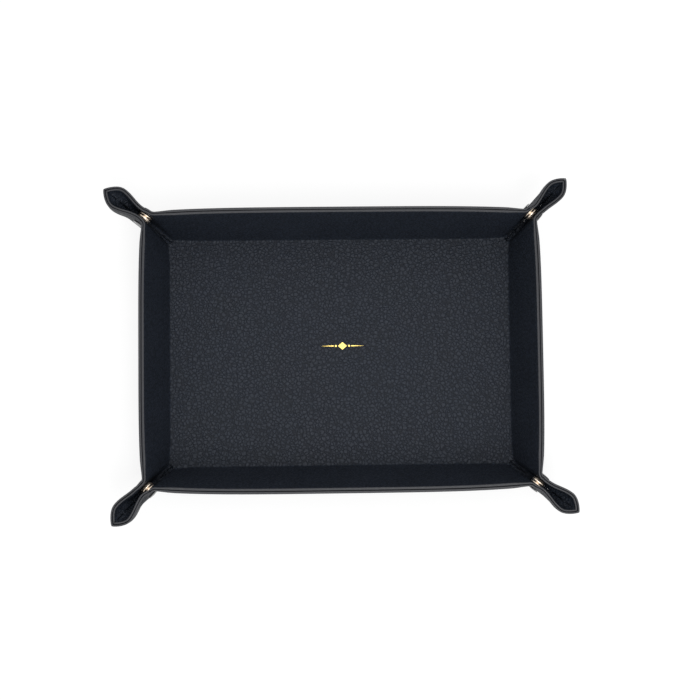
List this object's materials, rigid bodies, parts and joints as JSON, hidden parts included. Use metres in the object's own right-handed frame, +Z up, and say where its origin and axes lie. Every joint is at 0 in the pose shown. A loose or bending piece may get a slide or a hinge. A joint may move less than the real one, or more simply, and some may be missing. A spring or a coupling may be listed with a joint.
{
  "type": "valet tray",
  "caption": "Rectangular leather catch-all tray with low leaning walls, its corners pinched into ears and held by snap fasteners.",
  "frame": {"origin": "middle of the flat underside, on the surface that the tray stands on", "axes": "+X along the tray's length to the right, +Y along its width to the back, +Z up out of the tray"},
  "size_m": [0.2644, 0.1943, 0.0378],
  "materials": {
    "leather": "matt, fine grain",
    "lining": "matt, pebbled",
    "board": "plain",
    "snap_metal": "polished"
  },
  "bodies": {
    "floor": {"floor_leather": "leather", "floor_board": "board", "floor_lining": "lining"},
    "wall_back": {"wall_leather_back": "leather", "wall_board_back": "board", "wall_lining_back": "lining"},
    "wall_front": {"wall_leather_front": "leather", "wall_board_front": "board", "wall_lining_front": "lining"},
    "wall_left": {"wall_leather_left": "leather", "wall_board_left": "board", "wall_lining_left": "lining"},
    "wall_right": {"wall_leather_right": "leather", "wall_board_right": "board", "wall_lining_right": "lining"},
    "ear_back_left_short": {"ear_leather_back_left_short": "leather", "ear_lining_back_left_short": "lining", "snap_socket_back_left": "snap_metal", "snap_cap_back_left": "snap_metal"},
    "ear_back_left_long": {"ear_leather_back_left_long": "leather", "ear_lining_back_left_long": "lining", "snap_stud_back_left": "snap_metal", "snap_back_back_left": "snap_metal"},
    "ear_back_right_short": {"ear_leather_back_right_short": "leather", "ear_lining_back_right_short": "lining", "snap_socket_back_right": "snap_metal", "snap_cap_back_right": "snap_metal"},
    "ear_back_right_long": {"ear_leather_back_right_long": "leather", "ear_lining_back_right_long": "lining", "snap_stud_back_right": "snap_metal", "snap_back_back_right": "snap_metal"},
    "ear_front_left_short": {"ear_leather_front_left_short": "leather", "ear_lining_front_left_short": "lining", "snap_socket_front_left": "snap_metal", "snap_cap_front_left": "snap_metal"},
    "ear_front_left_long": {"ear_leather_front_left_long": "leather", "ear_lining_front_left_long": "lining", "snap_stud_front_left": "snap_metal", "snap_back_front_left": "snap_metal"},
    "ear_front_right_short": {"ear_leather_front_right_short": "leather", "ear_lining_front_right_short": "lining", "snap_socket_front_right": "snap_metal", "snap_cap_front_right": "snap_metal"},
    "ear_front_right_long": {"ear_leather_front_right_long": "leather", "ear_lining_front_right_long": "lining", "snap_stud_front_right": "snap_metal", "snap_back_front_right": "snap_metal"}
  },
  "joints": [
    {"name": "fold_back", "type": "hinge", "parent": "floor", "child": "wall_back", "pos_m": [0, 0.0678, 0.00165], "axis": [-1, 0, 0], "range_deg": [0, 65]},
    {"name": "fold_front", "type": "hinge", "parent": "floor", "child": "wall_front", "pos_m": [0, -0.0678, 0.00165], "axis": [1, 0, 0], "range_deg": [0, 65]},
    {"name": "fold_left", "type": "hinge", "parent": "floor", "child": "wall_left", "pos_m": [-0.1013, 0, 0.00165], "axis": [0, -1, 0], "range_deg": [0, 65]},
    {"name": "fold_right", "type": "hinge", "parent": "floor", "child": "wall_right", "pos_m": [0.1013, 0, 0.00165], "axis": [0, 1, 0], "range_deg": [0, 65]},
    {"name": "bend_back_left_short", "type": "hinge", "parent": "wall_left", "child": "ear_back_left_short", "pos_m": [-0.1013, 0.06311, 0.00165], "axis": [0.249, -0.249, -0.9359], "range_deg": [0, 58.3]},
    {"name": "bend_back_left_long", "type": "hinge", "parent": "wall_back", "child": "ear_back_left_long", "pos_m": [-0.09661, 0.0678, 0.00165], "axis": [-0.249, 0.249, 0.9359], "range_deg": [0, 35.5]},
    {"name": "bend_back_right_short", "type": "hinge", "parent": "wall_right", "child": "ear_back_right_short", "pos_m": [0.1013, 0.0632, 0.00165], "axis": [0.249, 0.249, 0.9359], "range_deg": [0, 44.9]},
    {"name": "bend_back_right_long", "type": "hinge", "parent": "wall_back", "child": "ear_back_right_long", "pos_m": [0.0967, 0.0678, 0.00165], "axis": [-0.249, -0.249, -0.9359], "range_deg": [0, 48.9]},
    {"name": "bend_front_left_short", "type": "hinge", "parent": "wall_left", "child": "ear_front_left_short", "pos_m": [-0.1013, -0.0632, 0.00165], "axis": [-0.249, -0.249, 0.9359], "range_deg": [0, 43.9]},
    {"name": "bend_front_left_long", "type": "hinge", "parent": "wall_front", "child": "ear_front_left_long", "pos_m": [-0.0967, -0.0678, 0.00165], "axis": [0.249, 0.249, -0.9359], "range_deg": [0, 49.9]},
    {"name": "bend_front_right_short", "type": "hinge", "parent": "wall_right", "child": "ear_front_right_short", "pos_m": [0.1013, -0.06318, 0.00165], "axis": [-0.249, 0.249, -0.9359], "range_deg": [0, 53.1]},
    {"name": "bend_front_right_long", "type": "hinge", "parent": "wall_front", "child": "ear_front_right_long", "pos_m": [0.09668, -0.0678, 0.00165], "axis": [0.249, -0.249, 0.9359], "range_deg": [0, 40.7]}
  ],
  "couplings": [
    {"joint": "fold_front", "follows": "fold_back", "ratio": 1},
    {"joint": "fold_left", "follows": "fold_back", "ratio": 1},
    {"joint": "fold_right", "follows": "fold_back", "ratio": 1},
    {"joint": "bend_back_left_short", "follows": "fold_back", "ratio": 0.7219},
    {"joint": "bend_back_left_long", "follows": "fold_back", "ratio": 0.43956},
    {"joint": "bend_back_right_short", "follows": "fold_back", "ratio": 0.55596},
    {"joint": "bend_back_right_long", "follows": "fold_back", "ratio": 0.6055},
    {"joint": "bend_front_left_short", "follows": "fold_back", "ratio": 0.54358},
    {"joint": "bend_front_left_long", "follows": "fold_back", "ratio": 0.61788},
    {"joint": "bend_front_right_short", "follows": "fold_back", "ratio": 0.65751},
    {"joint": "bend_front_right_long", "follows": "fold_back", "ratio": 0.50395}
  ]
}
